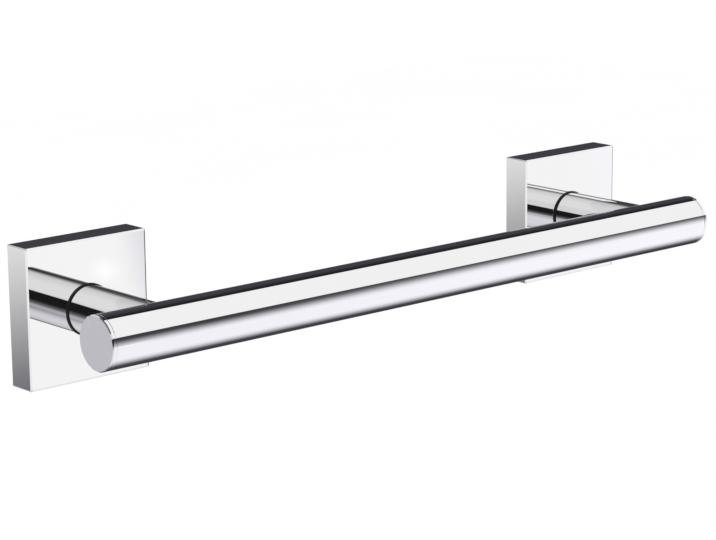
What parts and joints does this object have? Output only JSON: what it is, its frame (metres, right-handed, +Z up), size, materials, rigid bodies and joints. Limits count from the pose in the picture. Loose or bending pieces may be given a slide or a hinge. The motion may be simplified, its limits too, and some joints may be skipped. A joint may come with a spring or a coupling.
{
  "type": "grab bar",
  "caption": "Straight round grab bar on two posts with square wall plates, for a shower or bath wall.",
  "frame": {"origin": "in the wall plane, midway between the two posts, at the height of the bar's axis", "axes": "+X along the bar to the right as seen by a person who faces the wall, +Y into the wall so that the bar stands out towards -Y, +Z up"},
  "size_m": [0.3, 0.064, 0.052],
  "materials": {
    "bar": "mirror polished chrome",
    "cap": "polished chrome, slightly softer",
    "post": "mirror polished chrome",
    "seal": "black rubber with a slight gloss",
    "cover": "mirror polished chrome",
    "bracket": "plain pressed stainless steel",
    "screw": "plain stainless steel",
    "washer": "plain spring steel",
    "stud": "plain steel",
    "nut": "turned brass"
  },
  "bodies": {
    "root": {"bar_tube": "bar", "end_cap_left": "cap", "post_left": "post", "seal_ring_left": "seal", "cover_plate_left": "cover", "wall_bracket_left": "bracket", "grub_screw_left": "screw", "post_screw_left": "screw", "spring_washer_left": "washer", "bar_stud_left": "stud", "bar_nut_left": "nut", "end_cap_right": "cap", "post_right": "post", "seal_ring_right": "seal", "cover_plate_right": "cover", "wall_bracket_right": "bracket", "grub_screw_right": "screw", "post_screw_right": "screw", "spring_washer_right": "washer", "bar_stud_right": "stud", "bar_nut_right": "nut"}
  },
  "joints": []
}
